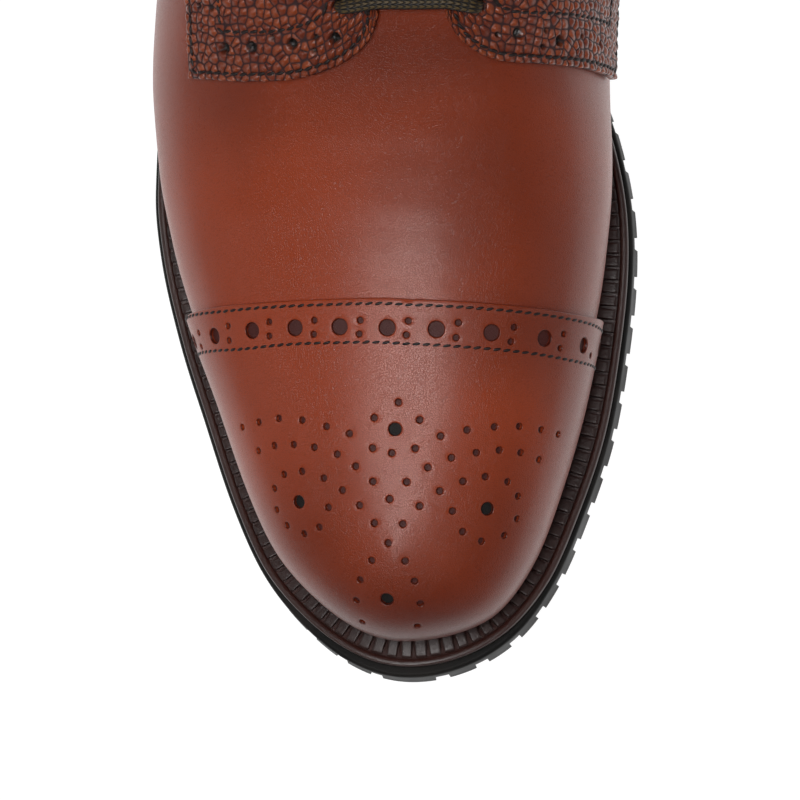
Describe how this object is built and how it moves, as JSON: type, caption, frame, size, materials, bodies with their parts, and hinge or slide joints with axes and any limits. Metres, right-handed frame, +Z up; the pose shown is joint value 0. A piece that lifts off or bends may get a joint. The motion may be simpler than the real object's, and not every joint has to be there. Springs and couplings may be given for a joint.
{
  "type": "cap toe derby shoe",
  "caption": "Right cap toe derby shoe with punched cap, grained quarters, ribbed welt, stacked heel and lugged rubber sole.",
  "frame": {"origin": "on the floor under the middle of the outsole's length and width", "axes": "+Z up, +Y towards the heel, toe towards -Y, +X towards the inner side of the foot"},
  "size_m": [0.1092, 0.3094, 0.115],
  "materials": {
    "calf": "burnished smooth calf, satin",
    "grain": "pebble grained leather, glossy on the pebbles",
    "lining": "plain leather lining, matt",
    "welt": "dark brown wheeled leather",
    "heel_stack": "dark stacked leather, waxed",
    "sole_rubber": "black rubber, slightly shiny edge",
    "lace": "waxed dark brown cotton"
  },
  "bodies": {
    "root": {"upper": "calf", "toe_cap": "calf", "quarter_medial": "grain", "quarter_lateral": "grain", "back_strip": "calf", "tongue": "calf", "insole": "lining", "welt": "welt", "outsole": "sole_rubber", "heel_base": "heel_stack", "heel_top_piece": "sole_rubber", "lace_bar_1": "lace", "lace_bar_2": "lace", "lace_bar_3": "lace", "lace_bar_4": "lace", "lace_bar_5": "lace"}
  },
  "joints": []
}
